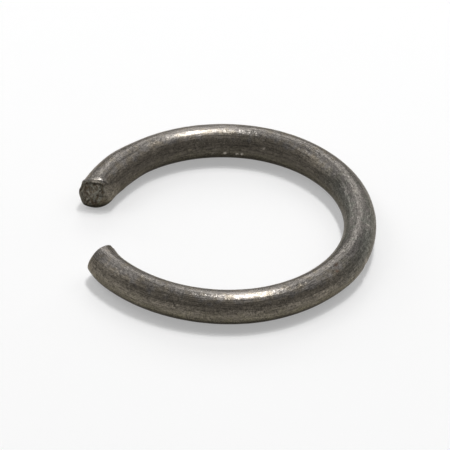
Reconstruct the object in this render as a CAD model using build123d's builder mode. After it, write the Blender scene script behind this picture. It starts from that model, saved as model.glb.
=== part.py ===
from build123d import *
from math import atan, cos, degrees, pi, radians, sin, sqrt, tan
import os

# An open snap ring of round steel wire, lying flat. Millimetres and degrees.
# The origin is the centre of the ring's main arc, in the middle of the wire's thickness.
# +Z is the ring's axis and the opening faces -X. The back end of the wire lies on the
# +Y side of the opening, and the front end on the -Y side.

# Driving dimensions

# The wire, which coiling has left slightly oval
wire_radial = 2.92           # thickness in the ring's plane
wire_axial = 3.16            # thickness along the ring's axis

# The coil: a main arc, and on each side of it a stretch that is bent a little less.
# Radii and lengths are those of the wire's centre line, and lengths end at the cuts.
free_inner_diameter = 21.1   # inside the main arc, with the ring off its shaft
main_arc_to_back = 78.3      # angle from +X to the start of the back stretch
main_arc_to_front = 88.9     # angle from +X to the start of the front stretch
back_bend_radius = 12.52
back_length = 17.95
front_bend_radius = 13.29
front_length = 11.25
tip_bend_radius = 6.6        # the front tip, which the shear pulled inwards
tip_length = 2.62

# The back end is thicker, because the wire was gripped there to be cut
swell_length = 7.27          # from the start of the swelling to the cut
swell_rise = 3.33            # length over which the wire grows to its thickest
swell_growth = 0.24          # growth of both thicknesses at the thickest place
swell_growth_at_cut = 0.14   # growth that is left at the cut

# The sheared face at the back, nearly square to the wire. A positive tilt leans the
# face back towards the wire, and a negative one makes that side stand forward.
back_tilt_outer = -9.0       # on the side away from the ring's axis
back_tilt_top = 4.5          # on the upper side
back_roll_over = 1.08        # radius of the edge that the blade drew down
back_roll_over_width = 0.85  # of that edge, a crescent, at its widest
back_roll_over_bow = 0.84    # from the wire's middle back to the centre of its inner bound
back_roll_over_turn = 23.0   # of that edge, from straight inwards towards the underside
back_burr_height = 0.08      # lip opposite it, where the blade came out
back_burr_width = 0.55       # part of the face that curls up into the lip

# The sheared face at the front, cut on the slant
front_tilt_outer = 19.8
front_tilt_top = 13.5
front_roll_over = 0.61
front_roll_over_width = 0.39
front_roll_over_bow = 0.8
front_roll_over_turn = 14.0  # of that edge, from straight outwards towards the top
front_burr_height = 0.03
front_burr_width = 0.35

# Worked out from them
mean_radius = (free_inner_diameter + wire_radial) / 2
main_arc_angle = main_arc_to_front + main_arc_to_back
back_plain_length = back_length - swell_length
overrun = wire_axial / 2       # spare wire past each cut, which the shear takes off
cutter_reach = wire_axial      # from the wire's sides to the cutter's
up = Vector(0, 0, 1)


def swell_at(distance):
    """Growth of the wire's thickness at a distance past the start of the swelling."""
    if distance < swell_rise:
        return swell_growth * (1 - cos(pi * distance / swell_rise)) / 2
    faded = (distance - swell_rise) / (swell_length - swell_rise)
    return swell_growth + (swell_growth_at_cut - swell_growth) * faded


def square_to(arc, along):
    """Plane square to the wire, facing along it, with its x axis in the ring's plane."""
    return Plane(origin=arc @ along, x_dir=(arc % along).cross(up), z_dir=arc % along)


def side_of(outwards, upwards, turn):
    """Direction in the wire's section: turned from outwards to upwards by an angle."""
    return outwards * cos(radians(turn)) + upwards * sin(radians(turn))


def bend_wire(arc, length, axis_direction):
    """Even stretch of wire, bent round the centre of its arc."""
    with BuildSketch(square_to(arc, 0)) as section:
        Ellipse(wire_radial / 2, wire_axial / 2)
    revolve(
        section.sketch,
        axis=Axis(arc.arc_center, axis_direction),
        revolution_arc=degrees(length / arc.radius),
    )


def shear(end, outwards, tilt_outer, tilt_top, rolled_side, roll_over, roll_over_width,
          roll_over_bow, burr_width, burr_height, growth):
    """Shear the wire at an end: a tilted face, rolled over on one side and burred opposite.

    end is the plane square to the wire at the cut, outwards points away from the ring's
    axis, rolled_side points at the rolled edge and growth is the wire's swelling there.
    The rolled edge is a crescent, because the blade drew down one side of a round wire.
    """
    facing = end.z_dir + outwards * tan(radians(tilt_outer)) + up * tan(radians(tilt_top))
    facing = facing.normalized()
    across = (rolled_side - facing * rolled_side.dot(facing)).normalized()
    lean = atan(-across.dot(end.z_dir) / across.dot(rolled_side))
    half_wire = growth / 2 + sqrt(
        (wire_radial / 2 * rolled_side.dot(outwards)) ** 2
        + (wire_axial / 2 * rolled_side.dot(up)) ** 2
    )
    half_face = half_wire / cos(lean)
    roll_start = half_face - roll_over_width
    burr_start = burr_width - half_face
    burr_radius = (burr_width ** 2 + burr_height ** 2) / (2 * burr_height)

    blade = Plane(origin=end.origin, x_dir=across, z_dir=across.cross(facing))
    with BuildSketch(blade) as face_cutter:
        with BuildLine():
            burr = JernArc((burr_start, 0), (-1, 0), burr_radius, -60)
            Polyline(
                (burr_start, 0),
                (half_face + cutter_reach, 0),
                (half_face + cutter_reach, cutter_reach),
                (-half_face - cutter_reach, cutter_reach),
                (-half_face - cutter_reach, (burr @ 1).Y),
                burr @ 1,
            )
        make_face()
    extrude(face_cutter.sketch, amount=cutter_reach, both=True, mode=Mode.SUBTRACT)

    with BuildSketch(blade) as edge_cutter:
        with BuildLine():
            rolled = JernArc((roll_start, 0), (1, 0), roll_over, -90)
            Polyline(
                rolled @ 1,
                (half_face + cutter_reach, (rolled @ 1).Y),
                (half_face + cutter_reach, cutter_reach),
                (roll_start, cutter_reach),
                (roll_start, 0),
            )
        make_face()
    crescent_axis = Axis(end.origin - across * roll_over_bow, facing)
    revolve(edge_cutter.sketch, axis=crescent_axis, mode=Mode.SUBTRACT)


# Centre line of the wire, from the main arc out to both ends
with BuildLine() as centre_line:
    main_arc = CenterArc((0, 0), mean_radius, -main_arc_to_front, main_arc_angle)
    back_arc = JernArc(
        main_arc @ 1, main_arc % 1, back_bend_radius,
        degrees(back_plain_length / back_bend_radius),
    )
    swell_arc = JernArc(
        back_arc @ 1, back_arc % 1, back_bend_radius,
        degrees(swell_length / back_bend_radius),
    )
    front_arc = JernArc(
        main_arc @ 0, main_arc % 0 * -1, front_bend_radius,
        -degrees(front_length / front_bend_radius),
    )
    tip_arc = JernArc(
        front_arc @ 1, front_arc % 1, tip_bend_radius,
        -degrees(tip_length / tip_bend_radius),
    )

with BuildPart() as snap_ring:
    bend_wire(main_arc, mean_radius * radians(main_arc_angle), up)
    bend_wire(back_arc, back_plain_length, up)
    bend_wire(front_arc, front_length, -up)
    bend_wire(tip_arc, tip_length + overrun, -up)

    # Swollen stretch at the back, lofted through sections that follow the swelling
    loft_length = swell_length + overrun
    section_count = round(4 * loft_length / swell_rise)
    for number in range(section_count + 1):
        distance = loft_length * number / section_count
        growth = swell_at(distance)
        with BuildSketch(square_to(swell_arc, distance / swell_length)):
            Ellipse((wire_radial + growth) / 2, (wire_axial + growth) / 2)
    loft()

    back_end = square_to(swell_arc, 1)
    outwards = back_end.x_dir
    shear(
        back_end, outwards, back_tilt_outer, back_tilt_top,
        side_of(-outwards, -up, back_roll_over_turn),
        back_roll_over, back_roll_over_width, back_roll_over_bow,
        back_burr_width, back_burr_height, swell_growth_at_cut,
    )
    front_end = square_to(tip_arc, 1)
    outwards = -front_end.x_dir
    shear(
        front_end, outwards, front_tilt_outer, front_tilt_top,
        side_of(outwards, up, front_roll_over_turn),
        front_roll_over, front_roll_over_width, front_roll_over_bow,
        front_burr_width, front_burr_height, 0,
    )

os.makedirs("parts", exist_ok=True)
snap_ring.part.label = "snap_ring"
export_step(snap_ring.part, "parts/snap_ring.step")
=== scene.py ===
from collections import namedtuple
from math import atan, ceil, cos, hypot, pi, radians, sin, tan

import bpy
import numpy as np
from mathutils import Matrix, Vector, noise


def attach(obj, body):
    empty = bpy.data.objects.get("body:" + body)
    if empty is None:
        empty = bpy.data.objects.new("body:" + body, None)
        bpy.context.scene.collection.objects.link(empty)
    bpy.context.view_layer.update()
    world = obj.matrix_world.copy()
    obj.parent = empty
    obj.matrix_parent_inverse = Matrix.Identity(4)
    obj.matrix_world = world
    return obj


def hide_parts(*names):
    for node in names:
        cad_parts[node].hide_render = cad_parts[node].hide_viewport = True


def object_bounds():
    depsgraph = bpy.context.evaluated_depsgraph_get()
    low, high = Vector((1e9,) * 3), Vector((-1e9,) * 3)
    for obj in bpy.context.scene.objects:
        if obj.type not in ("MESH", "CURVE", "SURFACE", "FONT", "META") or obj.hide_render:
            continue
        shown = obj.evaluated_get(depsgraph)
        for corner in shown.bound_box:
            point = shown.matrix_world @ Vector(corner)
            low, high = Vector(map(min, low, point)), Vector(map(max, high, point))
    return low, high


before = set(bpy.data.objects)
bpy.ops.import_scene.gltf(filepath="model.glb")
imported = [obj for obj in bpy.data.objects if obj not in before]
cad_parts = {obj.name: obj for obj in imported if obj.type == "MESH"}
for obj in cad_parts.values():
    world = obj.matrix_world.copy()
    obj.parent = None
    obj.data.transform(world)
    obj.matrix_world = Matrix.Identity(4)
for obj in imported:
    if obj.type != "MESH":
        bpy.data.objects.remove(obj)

# The looks of an open snap ring of round steel wire. Metres and degrees.
# A place on the wire is a distance along its centre line, counted from +X and positive
# towards the back end, and a turn round the wire, with 0 outwards and 90 upwards.

MM = 0.001

# The wire and its coil, the same sizes as in the part's source
WIRE_RADIAL = 2.92 * MM
WIRE_AXIAL = 3.16 * MM
FREE_INNER_DIAMETER = 21.1 * MM
MAIN_ARC_TO_BACK = 78.3
MAIN_ARC_TO_FRONT = 88.9
BACK_BEND_RADIUS = 12.52 * MM
BACK_LENGTH = 17.95 * MM
FRONT_BEND_RADIUS = 13.29 * MM
FRONT_LENGTH = 11.25 * MM
TIP_BEND_RADIUS = 6.6 * MM
TIP_LENGTH = 2.62 * MM

# The swelling at the back end, and the growth of both thicknesses there
SWELL_LENGTH = 7.27 * MM
SWELL_RISE = 3.33 * MM
SWELL_GROWTH = 0.24 * MM
SWELL_GROWTH_AT_CUT = 0.14 * MM

# The sheared faces, and the radius to which the edge round each is worn
BACK_SHEAR = dict(
    tilt_outer=-9.0, tilt_top=4.5, rolled_turn=203.0, roll_over=1.08 * MM,
    roll_width=0.85 * MM, roll_bow=0.84 * MM, burr_width=0.55 * MM,
    burr_height=0.08 * MM, growth=SWELL_GROWTH_AT_CUT, edge=0.07 * MM,
)
FRONT_SHEAR = dict(
    tilt_outer=19.8, tilt_top=13.5, rolled_turn=14.0, roll_over=0.61 * MM,
    roll_width=0.39 * MM, roll_bow=0.8 * MM, burr_width=0.35 * MM,
    burr_height=0.03 * MM, growth=0.0, edge=0.09 * MM,
)

# The mesh
CELL_ALONG = 0.088 * MM
CELL_ROUND = 0.086 * MM
EDGE_ROWS = 4
FITTED_LENGTH = 3.2 * MM       # of each end, over which the rows turn to its slanted face
FACE_FADE = 0.12 * MM          # from the bare sheared face to the wire's own skin

# The camera of the photograph: its angle, distance and the focal length
CAMERA_ELEVATION = 38.51
CAMERA_ROLL = -1.3375
CAMERA_DISTANCE = 504 * MM
IMAGE_WIDTH = 450
FOCAL_PIXELS = 5603.6
IMAGE_SHIFT_RIGHT = 1.56       # of the origin from the picture's middle, in pixels
IMAGE_SHIFT_DOWN = -2.64
SENSOR_WIDTH = 36.0

mean_radius = (FREE_INNER_DIAMETER + WIRE_RADIAL) / 2
mean_half_wire = (WIRE_RADIAL + WIRE_AXIAL) / 4
swell_start = mean_radius * radians(MAIN_ARC_TO_BACK) + BACK_LENGTH - SWELL_LENGTH
back_cut = mean_radius * radians(MAIN_ARC_TO_BACK) + BACK_LENGTH
front_cut = -(mean_radius * radians(MAIN_ARC_TO_FRONT) + FRONT_LENGTH + TIP_LENGTH)
UP = np.array([0.0, 0.0, 1.0])


# The form of the wire

def centre_line(distance):
    """Points of the wire's centre line, and the direction outwards there."""
    back = ((mean_radius * radians(MAIN_ARC_TO_BACK), mean_radius), (0, BACK_BEND_RADIUS))
    front = (
        (mean_radius * radians(MAIN_ARC_TO_FRONT), mean_radius),
        (FRONT_LENGTH, FRONT_BEND_RADIUS),
        (0, TIP_BEND_RADIUS),
    )
    point = np.zeros(distance.shape, complex)
    outwards = np.zeros(distance.shape, complex)
    for side, stretches in ((1, back), (-1, front)):
        start, heading, walked = mean_radius + 0j, side * 1j, 0.0
        for length, radius in stretches:
            beyond = side * distance - walked
            turned = np.exp(1j * side * beyond / radius)
            centre = start + side * 1j * heading * radius
            here = (beyond >= 0) & (side * distance >= 0)
            point[here] = (centre + (start - centre) * turned)[here]
            outwards[here] = (heading * turned / (side * 1j))[here]
            stretch_turn = np.exp(1j * side * length / radius)
            start = centre + (start - centre) * stretch_turn
            heading = heading * stretch_turn
            walked += length
    flat = np.zeros(distance.shape)
    return (
        np.stack([point.real, point.imag, flat], -1),
        np.stack([outwards.real, outwards.imag, flat], -1),
    )


def swelling(distance):
    """Growth of the wire's thickness at a distance along the centre line."""
    past = distance - swell_start
    rising = SWELL_GROWTH * (1 - np.cos(pi * past / SWELL_RISE)) / 2
    faded = (past - SWELL_RISE) / (SWELL_LENGTH - SWELL_RISE)
    fading = SWELL_GROWTH + (SWELL_GROWTH_AT_CUT - SWELL_GROWTH) * faded
    return np.where(past < 0, 0, np.where(past < SWELL_RISE, rising, fading))


def wire_side(distance, turn):
    """Points on the wire's side and the directions straight out of it."""
    centre, outwards = centre_line(distance)
    growth = swelling(distance)[..., None]
    across, upright = np.cos(turn)[..., None], np.sin(turn)[..., None]
    half_radial = (WIRE_RADIAL + growth) / 2
    half_axial = (WIRE_AXIAL + growth) / 2
    point = centre + half_radial * across * outwards + half_axial * upright * UP
    normal = half_axial * across * outwards + half_radial * upright * UP
    return point, normal / np.linalg.norm(normal, axis=-1, keepdims=True)


class Cut:
    """The sheared face of one end: tilted, rolled over on one side and burred opposite."""

    def __init__(self, distance, ahead, shear):
        centre, outwards = centre_line(np.array([distance]))
        self.distance, self.ahead, self.edge = distance, ahead, shear["edge"]
        self.origin, self.outwards = centre[0], outwards[0]
        self.forward = ahead * np.cross(UP, self.outwards)
        facing = (
            self.forward
            + self.outwards * tan(radians(shear["tilt_outer"]))
            + UP * tan(radians(shear["tilt_top"]))
        )
        self.facing = facing / np.linalg.norm(facing)
        rolled_turn = radians(shear["rolled_turn"])
        rolled_side = self.outwards * cos(rolled_turn) + UP * sin(rolled_turn)
        across = rolled_side - self.facing * (rolled_side @ self.facing)
        self.across = across / np.linalg.norm(across)
        self.beside = np.cross(self.across, self.facing)
        lean = atan(-(self.across @ self.forward) / (self.across @ rolled_side))
        half_wire = shear["growth"] / 2 + hypot(
            WIRE_RADIAL / 2 * cos(rolled_turn), WIRE_AXIAL / 2 * sin(rolled_turn)
        )
        half_face = half_wire / cos(lean)
        self.roll_over, self.roll_bow = shear["roll_over"], shear["roll_bow"]
        self.roll_start = half_face - shear["roll_width"]
        width, height = shear["burr_width"], shear["burr_height"]
        self.burr_start = width - half_face
        self.burr_radius = (width ** 2 + height ** 2) / (2 * height)

    def past_roll_start(self, points):
        """How far points lie past the inner bound of the rolled edge, a crescent."""
        offset = points - self.origin
        aside = offset @ self.across + self.roll_bow
        return np.hypot(aside, offset @ self.beside) - self.roll_bow - self.roll_start

    def overshoot(self, points):
        """How far points stand out of the sheared face."""
        offset = points - self.origin
        into_burr = np.clip(self.burr_start - offset @ self.across, 0, self.burr_radius / 2)
        burr = self.burr_radius - np.sqrt(self.burr_radius ** 2 - into_burr ** 2)
        into_roll = np.clip(self.past_roll_start(points), 0, self.roll_over)
        roll = self.roll_over - np.sqrt(self.roll_over ** 2 - into_roll ** 2)
        return offset @ self.facing - burr + roll

    def reach(self, point_at, shape):
        """Distance ahead at which the points from point_at meet the face, by halving."""
        near = np.full(shape, -WIRE_AXIAL / 2)
        far = np.full(shape, WIRE_AXIAL / 2)
        for _ in range(40):
            middle = (near + far) / 2
            outside = self.overshoot(point_at(middle)) > 0
            near = np.where(outside, near, middle)
            far = np.where(outside, middle, far)
        return (near + far) / 2

    def side_end(self, turns):
        """Distance along the wire at which its side runs out into the edge of the face."""
        def side_point(ahead):
            return wire_side(self.distance + self.ahead * ahead, turns)[0]
        rim = self.reach(side_point, turns.shape)
        return self.distance + self.ahead * (rim - self.edge)


back_end = Cut(back_cut, 1, BACK_SHEAR)
front_end = Cut(front_cut, -1, FRONT_SHEAR)


def straightened(distance, turn):
    """Millimetres on the wire as if it were straight: outwards, up and along it."""
    return np.stack(
        [mean_half_wire * np.cos(turn), mean_half_wire * np.sin(turn), distance], -1
    ) / MM


# Marks that the photograph shows. Each has a place in straightened millimetres, a length
# along the wire, a width round it and a depth in millimetres, where a negative depth stands
# out. The last three say how far it shows bright metal, red-brown rust or black scale. The bright
# metal also paints highlights and glints on some marks, and the black paints shade along the crest.
Mark = namedtuple("Mark", "place length width depth bare rust dark")


def on_side(distance, turn, length, width, depth=0.0, bare=0.0, rust=0.0, dark=0.0):
    """Mark on the wire's side, at a distance in millimetres and a turn."""
    place = straightened(np.array(distance * MM), np.array(radians(turn)))
    return Mark(place, length, width, depth, bare, rust, dark)


def on_back_face(outwards, up, width, depth=0.0, bare=0.0, rust=0.0, dark=0.0, length=0.4):
    """Mark on the sheared face at the back, in millimetres from the wire's middle."""
    place = np.array([outwards, up, back_cut / MM])
    return Mark(place, length, width, depth, bare, rust, dark)


SIDE_MARKS = (
    # Bright specks and small pits low on the inner side at the back
    on_side(20.42, -168.8, 0.25, 0.16, depth=0.02, bare=0.12),
    on_side(19.18, -168.0, 0.17, 0.15, depth=-0.02, bare=0.95),
    on_side(17.94, -165.8, 0.20, 0.13, depth=-0.02, bare=0.8),
    on_side(17.44, -167.2, 0.16, 0.15, depth=-0.02, bare=0.9),
    on_side(15.16, 155.2, 0.17, 0.16, depth=-0.02, bare=0.7),
    # The right side: a mottled patch, a streak of painted shade along the crest, which dims its
    # highlight, and two rust spots
    on_side(3.24, 96.9, 0.55, 0.35, depth=0.016, bare=0.12),
    on_side(6.02, 120.2, 0.25, 0.2, depth=0.02, dark=0.5),
    on_side(-1.5, 58.5, 0.18, 0.16, depth=0.02, bare=0.35),
    # Painted shade along the crest
    on_side(0.5, 92.0, 7.5, 0.36, dark=0.24),
    on_side(-7.92, 74.0, 0.30, 0.20, depth=0.022, rust=0.7, dark=0.3),
    on_side(-8.3, 55.2, 0.24, 0.18, depth=0.018, rust=0.8),
    # The outer side at the right: a stretch that stands proud, with a nick in it
    on_side(-6.6, -5.0, 3.6, 1.1, depth=-0.17),
    on_side(-4.6, -14.0, 0.34, 0.66, depth=0.15, bare=1.0),
    on_side(-5.8, -14.0, 1.1, 0.38, bare=0.22),
    # The front: a speck near its tip, and a flattened corner inside
    on_side(-29.84, 53.4, 0.20, 0.15, depth=0.02, dark=0.4),
    on_side(-32.65, 150.0, 0.50, 0.55, depth=0.14),
    # The brightest stretches of the two highlights: rubbed smooth, with a painted highlight of
    # bright bare colour on them
    on_side(22.7, 109.0, 1.8, 0.30, bare=0.30),
    on_side(-16.2, 80.0, 2.2, 0.30, bare=0.24),
    # The back end: a kink, the pressed grey band, an olive and a reddish spot
    on_side(28.8, 91.7, 0.5, 0.3, depth=-0.015),
    on_side(33.4, 84.0, 0.9, 0.45, bare=0.08),
    on_side(33.38, 117.0, 0.35, 0.3, rust=0.25, dark=0.2),
    on_side(34.2, 42.0, 0.22, 0.26, bare=0.2, rust=0.8),
    # The back end's outline: pressed down on top with a rubbed rim, whose bright bare colour also
    # paints a glint, a corner beside that with a flat under it, another corner and a bulge below
    on_side(35.0, 93.0, 1.20, 0.95, depth=0.32),
    # Painted glint: bright bare colour along the rubbed rim
    on_side(34.15, 72.0, 0.12, 0.14, bare=0.6),
    on_side(34.25, 84.0, 0.15, 0.18, bare=0.9),
    on_side(34.26, 90.0, 0.15, 0.18, bare=0.9),
    on_side(34.27, 96.0, 0.15, 0.18, bare=0.9),
    on_side(34.40, 42.0, 0.38, 0.30, depth=-0.15),
    on_side(34.3, 20.0, 0.5, 0.26, depth=0.07),
    on_side(34.3, -50.0, 0.7, 0.55, depth=-0.15),
    on_side(31.5, -162.0, 1.0, 0.60, depth=-0.10),
)

FACE_MARKS = (
    # The back end's face: a bare lip along its top and outer side, whose bright colour on top also
    # paints a glint
    on_back_face(0.52, 1.36, 0.15, depth=-0.04, bare=0.3, length=0.3),
    on_back_face(0.26, 1.32, 0.16, depth=-0.07, bare=0.8, length=0.3),
    on_back_face(0.0, 1.30, 0.16, depth=-0.07, bare=1.0, length=0.3),
    on_back_face(-0.26, 1.28, 0.16, depth=-0.07, bare=0.8, length=0.3),
    on_back_face(1.38, 0.4, 0.13, bare=0.22),
    on_back_face(1.40, 0.0, 0.13, bare=0.22),
    on_back_face(1.36, -0.4, 0.13, bare=0.18),
    # A dark hollow inside the lip, and a lump that stands in it
    on_back_face(0.85, 0.92, 0.20, rust=0.35, dark=0.5),
    on_back_face(0.5, 1.12, 0.17, rust=0.2, dark=0.7),
    on_back_face(0.2, 1.15, 0.17, dark=0.75),
    on_back_face(-0.5, 1.05, 0.18, dark=0.7),
    on_back_face(0.92, 0.45, 0.24, rust=0.5, dark=0.5),
    on_back_face(0.92, 0.0, 0.24, rust=0.5, dark=0.45),
    on_back_face(0.86, -0.45, 0.24, rust=0.45, dark=0.45),
    on_back_face(-0.12, 1.0, 0.14, depth=-0.09, bare=0.3, rust=0.2),
    on_back_face(-0.24, 0.93, 0.12, depth=-0.06, bare=0.25, rust=0.2),
    # A paler middle with bright specks, and dark and rusty patches inside and below
    on_back_face(0.29, 0.1, 0.6, depth=-0.03, bare=0.08),
    on_back_face(0.29, -0.35, 0.13, depth=-0.02, bare=0.16),
    on_back_face(-0.17, 0.22, 0.11, depth=-0.02, bare=0.2),
    on_back_face(-0.42, 0.2, 0.11, depth=-0.02, bare=0.25),
    on_back_face(-0.95, 0.45, 0.2, bare=0.14),
    on_back_face(-1.0, 0.1, 0.2, bare=0.12),
    on_back_face(-0.22, -0.12, 0.20, depth=0.03, dark=0.6),
    on_back_face(-0.6, -0.22, 0.22, depth=0.03, dark=0.5),
    on_back_face(-0.5, 0.45, 0.16, depth=0.02, dark=0.5),
    on_back_face(0.08, -1.05, 0.35, depth=0.02, rust=0.3, dark=0.4),
    on_back_face(-0.8, -0.75, 0.4, depth=0.02, rust=0.35, dark=0.35),
)

# The ring-shaped hollow inside the rim of the back face, widest at its top outer side
GROOVE_FROM_RIM = 0.20 * MM
GROOVE_WIDTH = 0.18 * MM
GROOVE_WIDENING = 0.05 * MM
GROOVE_DEPTH = 0.09 * MM
GROOVE_WIDEST_TURN = 60.0
GROOVE_SHALLOWEST = 0.2        # share of its depth that is left at its narrowest

# Unevenness of the surface: the size of its features across, up and along in straightened
# millimetres, and their depth
WAVES = ((1.6, 1.6, 3.6), 0.010 * MM)
DRAWING_LINES = ((0.26, 0.26, 7.0), 0.004 * MM)
SKIN_GRAIN = ((0.22, 0.22, 0.26), 0.005 * MM)
SKIN_GRAIN_SHIFT = 31.0        # away from the drawing lines' noise, so that the two don't match
TORN_GRAIN = ((0.30, 0.30, 0.30), 0.022 * MM)


def fade(offset, width):
    """From 1 at no offset to about a seventh at the width, and on to 0."""
    return np.exp(-2 * (offset / width) ** 2)


def mark_share(mark, places):
    """From 0 to 1, how far places lie inside a mark."""
    offset = places - mark.place
    around = np.linalg.norm(offset[..., :2], axis=-1)
    return fade(around, mark.width) * fade(offset[..., 2], mark.length)


def depth_at(places, marks):
    """Depth of some marks in metres."""
    return sum(mark.depth * MM * mark_share(mark, places) for mark in marks)


def weather_and_painted_light_at(places):
    """How bare, rusty and dark places are, each from 0 to 1. Some marks paint highlights, glints and
    shade with these.
    """
    weather_and_painted_light = np.zeros(places.shape)
    for mark in SIDE_MARKS + FACE_MARKS:
        share = mark_share(mark, places)
        for axis, strength in enumerate((mark.bare, mark.rust, mark.dark)):
            weather_and_painted_light[..., axis] = np.maximum(weather_and_painted_light[..., axis], strength * share)
    return weather_and_painted_light


def roughly(places, size, depth, octaves=3):
    """Smooth noise between about -depth and depth, with features of a size given per axis."""
    scaled = (places / np.array(size)).reshape(-1, 3)
    values = [noise.fractal(Vector(place), 1.0, 2.0, octaves) for place in scaled]
    return depth * np.array(values).reshape(places.shape[:-1])


def side_relief(places):
    """Height of the wire's side over its plain form: waves, drawing lines, grain and marks."""
    height = roughly(places, *WAVES)
    height += roughly(places, *DRAWING_LINES, octaves=2)
    height += roughly(places + SKIN_GRAIN_SHIFT, *SKIN_GRAIN, octaves=2)
    return height - depth_at(places, SIDE_MARKS)


def face_relief(places, turns, from_rim):
    """Height of a torn sheared face: coarse grain and the hollow inside its rim."""
    lean = np.cos(turns - radians(GROOVE_WIDEST_TURN))
    width = GROOVE_WIDTH + GROOVE_WIDENING * lean
    depth = GROOVE_DEPTH * (0.5 * (1 + GROOVE_SHALLOWEST) + 0.5 * (1 - GROOVE_SHALLOWEST) * lean)
    groove = depth * fade(from_rim - GROOVE_FROM_RIM, width)
    grain = roughly(places, *TORN_GRAIN)
    return (grain - groove) * np.clip(from_rim / GROOVE_FROM_RIM, 0, 1)


# The mesh

Rings = namedtuple("Rings", "point place sheared")


def side_rings(turns):
    """Rings of the wire's side. They stand square to it and turn to the faces at the ends."""
    count = ceil((back_cut - front_cut) / CELL_ALONG)
    plain = np.linspace(front_cut, back_cut, count)[:, None]
    near_back = np.clip((plain - back_cut) / FITTED_LENGTH + 1, 0, 1)
    near_front = np.clip((front_cut - plain) / FITTED_LENGTH + 1, 0, 1)
    distance = (
        plain
        + near_back * (back_end.side_end(turns) - back_cut)
        + near_front * (front_end.side_end(turns) - front_cut)
    )
    turn = np.broadcast_to(turns, distance.shape)
    place = straightened(distance, turn)
    point, normal = wire_side(distance, turn)
    height = side_relief(place)[..., None]
    return Rings(point + normal * height, place, np.zeros(distance.shape))


def cap_rings(cut, turns, side_end):
    """Rings of an end's rounded edge and of its face, from the last ring of its side inwards."""
    offset = side_end - cut.origin
    aside, above = offset @ cut.outwards, offset @ UP
    radius = np.hypot(aside, above)
    face_count = ceil(radius.mean() / CELL_ROUND)
    rings = Rings([], [], [])
    for number in range(1, EDGE_ROWS + face_count):
        quarter = min(number / EDGE_ROWS, 1) * pi / 2
        share = 1 - max(number - EDGE_ROWS, 0) / face_count
        scale = (1 - cut.edge * (1 - cos(quarter)) / radius) * share

        def face_point(ahead):
            return (
                cut.origin
                + (aside * scale)[:, None] * cut.outwards
                + (above * scale)[:, None] * UP
                + ahead[:, None] * cut.forward
            )

        reached = cut.reach(face_point, turns.shape)
        on_face = face_point(reached)
        ahead = reached - cut.edge * (1 - sin(quarter))
        along = cut.distance + cut.ahead * ahead
        place = np.stack([aside * scale, above * scale, along], -1) / MM
        inside_edge = radius * (1 - scale) - cut.edge
        bare_face = np.clip(inside_edge / FACE_FADE + 0.5, 0, 1)
        bare_face = bare_face * (1 - np.clip(cut.past_roll_start(on_face) / FACE_FADE, 0, 1))
        height = bare_face * face_relief(place, turns, inside_edge)
        height -= depth_at(place, FACE_MARKS) * sin(quarter)
        rings.point.append(face_point(ahead) + height[:, None] * cut.facing)
        rings.place.append(place)
        rings.sheared.append(bare_face)
    return Rings(*(np.array(values) for values in rings))


def cap_middle(cut):
    """Point in the middle of an end's face."""
    def middle(ahead):
        return cut.origin + ahead[:, None] * cut.forward
    return middle(cut.reach(middle, (1,)))


def closed_faces(ring_count, columns):
    """Faces of a tube of rings, closed by a fan round one more point at each end."""
    around = np.arange(columns)
    following = (around + 1) % columns
    row = np.arange(ring_count - 1)[:, None] * columns
    corners = [row + around, row + following, row + following + columns, row + around + columns]
    quads = np.stack(corners, -1).reshape(-1, 4)
    last = (ring_count - 1) * columns
    first_pole = np.full(columns, ring_count * columns)
    first_fan = np.stack([following, around, first_pole], -1)
    last_fan = np.stack([last + around, last + following, first_pole + 1], -1)
    return quads.tolist() + first_fan.tolist() + last_fan.tolist()


def ring_mesh():
    """The whole ring as one closed mesh, with what its material needs at each point."""
    girth = pi * (WIRE_RADIAL + WIRE_AXIAL) / 2
    columns = ceil(girth / CELL_ROUND)
    turns = np.arange(columns) * 2 * pi / columns
    side = side_rings(turns)
    front = cap_rings(front_end, turns, side.point[0])
    back = cap_rings(back_end, turns, side.point[-1])

    def joined(name, front_pole, back_pole):
        stacked = [getattr(front, name)[::-1], getattr(side, name), getattr(back, name)]
        values = np.concatenate(stacked)
        values = values.reshape(-1, *values.shape[2:])
        return np.concatenate([values, front_pole, back_pole])

    points = joined("point", cap_middle(front_end), cap_middle(back_end))
    poles = [[[0, 0, cut.distance / MM]] for cut in (front_end, back_end)]
    places = joined("place", *poles)
    sheared = joined("sheared", [1.0], [1.0])

    mesh = bpy.data.meshes.new("snap_ring_body")
    mesh.from_pydata(points.tolist(), [], closed_faces(len(points) // columns, columns))
    for name, kind, values in (
        ("straightened", "FLOAT_VECTOR", places),
        ("weather_and_painted_light", "FLOAT_VECTOR", weather_and_painted_light_at(places)),
        ("sheared", "FLOAT", sheared),
    ):
        slot = "vector" if kind == "FLOAT_VECTOR" else "value"
        attribute = mesh.attributes.new(name, kind, "POINT")
        attribute.data.foreach_set(slot, values.astype(np.float32).ravel())
    mesh.polygons.foreach_set("use_smooth", np.ones(len(mesh.polygons), bool))
    mesh.update()
    return mesh


# Materials

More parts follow.
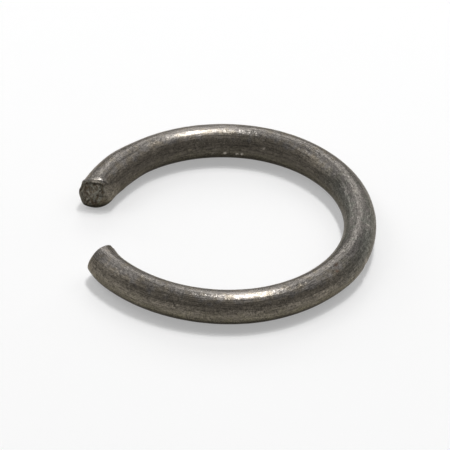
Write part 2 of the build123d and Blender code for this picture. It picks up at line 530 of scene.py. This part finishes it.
class Nodes:
    """Adds shader nodes to a tree, with values or other nodes' outputs as their inputs."""

    def __init__(self, tree):
        self.tree = tree
        tree.nodes.clear()

    def feed(self, node, inputs):
        """Gives some of a node's inputs other nodes' outputs or plain values."""
        for name, value in inputs.items():
            if isinstance(value, bpy.types.NodeSocket):
                self.tree.links.new(value, node.inputs[name])
            else:
                node.inputs[name].default_value = value

    def add(self, kind, inputs=None, output=0, **settings):
        """New node, of which one output is given back."""
        node = self.tree.nodes.new(kind)
        for name, value in settings.items():
            setattr(node, name, value)
        self.feed(node, inputs or {})
        return node.outputs[output] if node.outputs else None

    def noise(self, places, scale, detail, roughness):
        return self.add(
            "ShaderNodeTexNoise",
            {"Vector": places, "Scale": scale, "Detail": detail, "Roughness": roughness},
        )

    def ramp(self, value, low, high, to_low=0.0, to_high=1.0):
        """A value's way from low to high, as a way from to_low to to_high that stops at both."""
        return self.add(
            "ShaderNodeMapRange",
            {"Value": value, "From Min": low, "From Max": high, "To Min": to_low, "To Max": to_high},
        )

    def math(self, operation, first, second):
        return self.add("ShaderNodeMath", {0: first, 1: second}, operation=operation)

    def stretch(self, vector, factors):
        """A vector with its axes multiplied. A small factor draws a pattern out along that axis."""
        return self.add("ShaderNodeVectorMath", {0: vector, 1: factors}, operation="MULTIPLY")

    def split(self, vector):
        node = self.tree.nodes.new("ShaderNodeSeparateXYZ")
        self.tree.links.new(vector, node.inputs[0])
        return tuple(node.outputs)

    def grey(self, value):
        return self.add("ShaderNodeCombineColor", {"Red": value, "Green": value, "Blue": value})

    def blend(self, factor, first, second, blend_type="MIX"):
        node = self.tree.nodes.new("ShaderNodeMix")
        node.data_type = "RGBA"
        node.blend_type = blend_type
        self.feed(node, {0: factor, 6: first, 7: second})
        return node.outputs[2]


def material(name):
    """New material, and the nodes of its empty tree."""
    made = bpy.data.materials.new(name)
    made.use_nodes = True
    return made, Nodes(made.node_tree)


# Colours of the steel: its upper side, more neutral as painted light, its side, its side in the
# middle of the coil and its underside, darker and yellower as painted shade, then the torn faces'
# pale and dark parts and the metal where it is rubbed bare, whose bright colour also paints glints
# and the highlights' brightest stretches
STEEL_TOP_PAINTED_LIGHT = (0.141, 0.131, 0.121, 1)
STEEL_SIDE = (0.145, 0.128, 0.104, 1)
STEEL_MIDDLE = (0.128, 0.128, 0.113, 1)
STEEL_UNDER_PAINTED_SHADE = (0.130, 0.118, 0.078, 1)
STEEL_TORN = (0.138, 0.131, 0.107, 1)
STEEL_SCALED = (0.060, 0.047, 0.031, 1)
STEEL_BARE_AND_GLINT = (0.66, 0.60, 0.52, 1)
RUST = (0.115, 0.062, 0.038, 1)
# Black scale, and the painted shade along the right side's crest
BLACK_SCALE_AND_SHADE = (0.018, 0.015, 0.011, 1)
STEEL_EDGE_TINT = (0.52, 0.46, 0.39, 1)

# Heights and distances, in straightened millimetres, between which the colours change over
TOP_RANGE = (1.1, 1.5)
UNDER_RANGE = (0.4, -1.2)
UNEVEN_HEIGHT = 0.5            # by which the changes of colour wander up and down
COIL_MIDDLE_RANGE = (9.0, 4.0)
BACK_END_RANGE = (30.5, 33.5)

# Painted shade, which darkens the low inner side and most of all the underside. A shade is the share
# of the steel's own brightness that it leaves.
INNER_PAINTED_SHADE_RANGE = (-0.35, 0.25)
INNER_PAINTED_SHADE_SLANT = 0.5        # how much higher it reaches on the inner side
INNER_PAINTED_SHADE = 0.52
UNDER_PAINTED_SHADE_RANGE = (-0.90, -0.40)
UNDER_PAINTED_SHADE_DROP = 0.3         # how much lower it starts near the back end
UNDER_PAINTED_SHADE = 0.22

# Roughness of the skin where the grain is low and high, and how the ends and bare metal differ
GRAIN_RANGE = (0.35, 0.65)
SKIN_ROUGHNESS = (0.35, 0.23)
TORN_ROUGHER = 0.15
BARE_SMOOTHER = 0.12

# Scale, detail and roughness of the noise that mottles the colours and of the torn faces'
MOTTLE = (1.3, 4.0, 0.6)
TORN = (4.5, 3.0, 0.5)
TORN_STRETCH = (1.3, 0.5, 1)
TORN_RANGE = (0.42, 0.58)

# Patterns in the skin: scale, detail and roughness of the noise, the darkest and the lightest
# shade that it gives over the range of its values, and the depth of its bump
PATTERN_RANGE = (0.3, 0.7)
Pattern = namedtuple("Pattern", "scale detail roughness darkest lightest bump")
GRAIN = Pattern(4.0, 2.0, 0.8, 0.55, 1.55, 0.010 * MM)
SPECKS = Pattern(10.5, 1.0, 0.6, 0.54, 1.56, 0.007 * MM)
STREAKS = Pattern(8.5, 3.0, 0.6, 0.60, 1.5, 0.018 * MM)
STREAKS_STRETCH = (1, 1, 0.05)


def steel_painted_shade(nodes, outwards, upwards, along):
    """Painted shade: the share of the steel's colour that it leaves. It is thin near the back end.
    """
    above_inner = nodes.math("ADD", upwards, nodes.math("MULTIPLY", outwards, INNER_PAINTED_SHADE_SLANT))
    inner = nodes.ramp(above_inner, *INNER_PAINTED_SHADE_RANGE, INNER_PAINTED_SHADE, 1.0)
    near_back_end = nodes.ramp(along, *BACK_END_RANGE)
    inner = nodes.math("MAXIMUM", inner, near_back_end)
    drop = nodes.math("MULTIPLY", near_back_end, UNDER_PAINTED_SHADE_DROP)
    under = nodes.ramp(nodes.math("ADD", upwards, drop), *UNDER_PAINTED_SHADE_RANGE, UNDER_PAINTED_SHADE, 1.0)
    return nodes.math("MULTIPLY", inner, under)


def steel_material():
    """Dark drawn spring steel, with its marks and torn ends."""
    made, nodes = material("drawn_spring_steel")
    places = nodes.add("ShaderNodeAttribute", attribute_name="straightened", output="Vector")
    sheared = nodes.add("ShaderNodeAttribute", attribute_name="sheared", output="Fac")
    weather_and_painted_light = nodes.add("ShaderNodeAttribute", attribute_name="weather_and_painted_light", output="Vector")
    bare, rust, dark = nodes.split(weather_and_painted_light)
    outwards, upwards, along = nodes.split(places)
    skin = [
        (pattern, nodes.noise(where, pattern.scale, pattern.detail, pattern.roughness))
        for pattern, where in (
            (GRAIN, places), (SPECKS, places), (STREAKS, nodes.stretch(places, STREAKS_STRETCH)),
        )
    ]
    grain = skin[0][1]

    mottle = nodes.noise(places, *MOTTLE)
    wander = nodes.ramp(mottle, *PATTERN_RANGE, -UNEVEN_HEIGHT, UNEVEN_HEIGHT)
    height = nodes.math("ADD", upwards, wander)
    coil_middle = nodes.ramp(nodes.math("ABSOLUTE", along, 0.0), *COIL_MIDDLE_RANGE)
    colour = nodes.blend(coil_middle, STEEL_SIDE, STEEL_MIDDLE)
    # The more neutral top is painted light, and the darker, yellower underside painted shade
    colour = nodes.blend(nodes.ramp(height, *TOP_RANGE), colour, STEEL_TOP_PAINTED_LIGHT)
    colour = nodes.blend(nodes.ramp(height, *UNDER_RANGE), colour, STEEL_UNDER_PAINTED_SHADE)
    # Painted shade on the low inner side and the underside
    painted_shade = steel_painted_shade(nodes, outwards, upwards, along)
    colour = nodes.blend(1.0, colour, nodes.grey(painted_shade), "MULTIPLY")
    torn = nodes.noise(nodes.stretch(places, TORN_STRETCH), *TORN)
    torn = nodes.blend(nodes.ramp(torn, *TORN_RANGE), STEEL_SCALED, STEEL_TORN)
    colour = nodes.blend(sheared, colour, torn)
    for pattern, values in skin:
        shade = nodes.ramp(values, *PATTERN_RANGE, pattern.darkest, pattern.lightest)
        colour = nodes.blend(1.0, colour, nodes.grey(shade), "MULTIPLY")
    # Rust, black scale and bare metal; the bare colour also paints highlights and glints, and the
    # black paints shade along the crest
    for share, shown in ((rust, RUST), (dark, BLACK_SCALE_AND_SHADE), (bare, STEEL_BARE_AND_GLINT)):
        colour = nodes.blend(share, colour, shown)

    roughness = nodes.ramp(grain, *GRAIN_RANGE, *SKIN_ROUGHNESS)
    rougher = nodes.math("MULTIPLY", sheared, TORN_ROUGHER)
    smoother = nodes.math("MULTIPLY", bare, BARE_SMOOTHER)
    roughness = nodes.math("ADD", roughness, rougher)
    roughness = nodes.math("SUBTRACT", roughness, smoother)
    bump = None
    for pattern, values in skin:
        inputs = {"Strength": 1.0, "Distance": pattern.bump, "Height": values}
        if bump:
            inputs["Normal"] = bump
        bump = nodes.add("ShaderNodeBump", inputs)
    shader = nodes.add(
        "ShaderNodeBsdfPrincipled",
        {
            "Base Color": colour, "Metallic": 0.6, "Roughness": roughness, "Normal": bump,
            "Anisotropic": 0.7, "Anisotropic Rotation": 0.25, "Specular Tint": STEEL_EDGE_TINT,
            "Specular IOR Level": 0.35,
        },
    )
    nodes.add("ShaderNodeOutputMaterial", {"Surface": shader})
    return made


FLOOR_COLOUR = (0.96, 0.96, 0.96, 1)
FLOOR_WHITE_SHARE = 0.35       # of plain white that the floor shows, over its lit colour


def floor_material():
    """Pale floor, which shows the camera a part of plain white and keeps the ring's shadow."""
    made, nodes = material("pale_floor")
    lit = nodes.add("ShaderNodeBsdfDiffuse", {"Color": FLOOR_COLOUR})
    white = nodes.add("ShaderNodeEmission", {"Color": (1, 1, 1, 1), "Strength": 1.0})
    seen = nodes.add("ShaderNodeLightPath", output="Is Camera Ray")
    for ray in ("Is Glossy Ray", "Is Transmission Ray"):
        seen = nodes.math("MAXIMUM", seen, nodes.add("ShaderNodeLightPath", output=ray))
    share = nodes.math("MULTIPLY", seen, FLOOR_WHITE_SHARE)
    shader = nodes.add("ShaderNodeMixShader", {0: share, 1: lit, 2: white})
    nodes.add("ShaderNodeOutputMaterial", {"Surface": shader})
    return made


# The scene around the ring

FLOOR_RADIUS = 2.5
FLOOR_CORNERS = 96
WORLD_LEVEL = 0.12
LIGHT_DISTANCE = 0.6

# Soft boxes: name, azimuth (0 at +X, 90 at +Y), elevation, width, height and watts
SOFT_BOXES = (
    ("overhead_far", 84, 64, 0.07, 0.08, 0.34),
    ("overhead", 68, 74, 0.07, 0.08, 1.36),
    ("overhead_near", 35, 80, 0.08, 0.08, 0.38),
    ("behind", 90, 35, 0.28, 0.28, 0.66),
    ("behind_right", 50, 20, 0.3, 0.2, 0.22),
    ("behind_left", 130, 20, 0.3, 0.2, 0.36),
    ("right", 20, 50, 0.3, 0.3, 0.33),
    ("left", 160, 50, 0.3, 0.3, 0.47),
    ("front_left", 185, 22, 0.3, 0.2, 0.12),
)


def floor_object(height):
    """Round floor at a height."""
    mesh = bpy.data.meshes.new("floor")
    turns = [2 * pi * number / FLOOR_CORNERS for number in range(FLOOR_CORNERS)]
    rim = [(FLOOR_RADIUS * cos(turn), FLOOR_RADIUS * sin(turn), height) for turn in turns]
    mesh.from_pydata(rim, [], [tuple(range(FLOOR_CORNERS))])
    mesh.materials.append(floor_material())
    made = bpy.data.objects.new("floor", mesh)
    bpy.context.scene.collection.objects.link(made)


def soft_box(name, azimuth, elevation, width, height, watts):
    """Area light that looks at the ring."""
    light = bpy.data.lights.new(name, "AREA")
    light.shape = "RECTANGLE"
    light.size, light.size_y = width, height
    light.energy = watts
    made = bpy.data.objects.new(name, light)
    around, rise = radians(azimuth), radians(elevation)
    level = cos(rise)
    made.location = LIGHT_DISTANCE * Vector((cos(around) * level, sin(around) * level, sin(rise)))
    made.rotation_mode = "QUATERNION"
    made.rotation_quaternion = made.location.to_track_quat("Z", "Y")
    bpy.context.scene.collection.objects.link(made)


def studio():
    """Plain grey surroundings and soft boxes."""
    world = bpy.data.worlds.new("studio")
    bpy.context.scene.world = world
    world.use_nodes = True
    background = world.node_tree.nodes["Background"]
    background.inputs["Color"].default_value = (1, 1, 1, 1)
    background.inputs["Strength"].default_value = WORLD_LEVEL
    for values in SOFT_BOXES:
        soft_box(*values)


def camera():
    """The photograph's view of the origin."""
    elevation, roll = radians(CAMERA_ELEVATION), radians(CAMERA_ROLL)
    right = Vector((1, 0, 0))
    forward = Vector((0, cos(elevation), -sin(elevation)))
    down = -Vector((0, sin(elevation), cos(elevation)))
    picture_right = right * cos(roll) + down * sin(roll)
    picture_down = down * cos(roll) - right * sin(roll)
    aside = IMAGE_SHIFT_RIGHT / FOCAL_PIXELS * CAMERA_DISTANCE
    below = IMAGE_SHIFT_DOWN / FOCAL_PIXELS * CAMERA_DISTANCE
    data = bpy.data.cameras.new("camera")
    data.sensor_width = SENSOR_WIDTH
    data.lens = FOCAL_PIXELS / IMAGE_WIDTH * SENSOR_WIDTH
    data.clip_start, data.clip_end = 0.01, 10.0
    made = bpy.data.objects.new("camera", data)
    axes = Matrix((picture_right, -picture_down, -forward)).transposed()
    made.matrix_world = axes.to_4x4()
    made.location = -(picture_right * aside + picture_down * below + forward * CAMERA_DISTANCE)
    bpy.context.scene.collection.objects.link(made)
    bpy.context.scene.camera = made


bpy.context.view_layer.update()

ring = bpy.data.objects.new("snap_ring_body", ring_mesh())
bpy.context.scene.collection.objects.link(ring)
ring.data.materials.append(steel_material())
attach(ring, "root")
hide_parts("snap_ring")

low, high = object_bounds()
floor_object(low.z)
studio()
camera()
bpy.context.scene.view_settings.view_transform = "Standard"
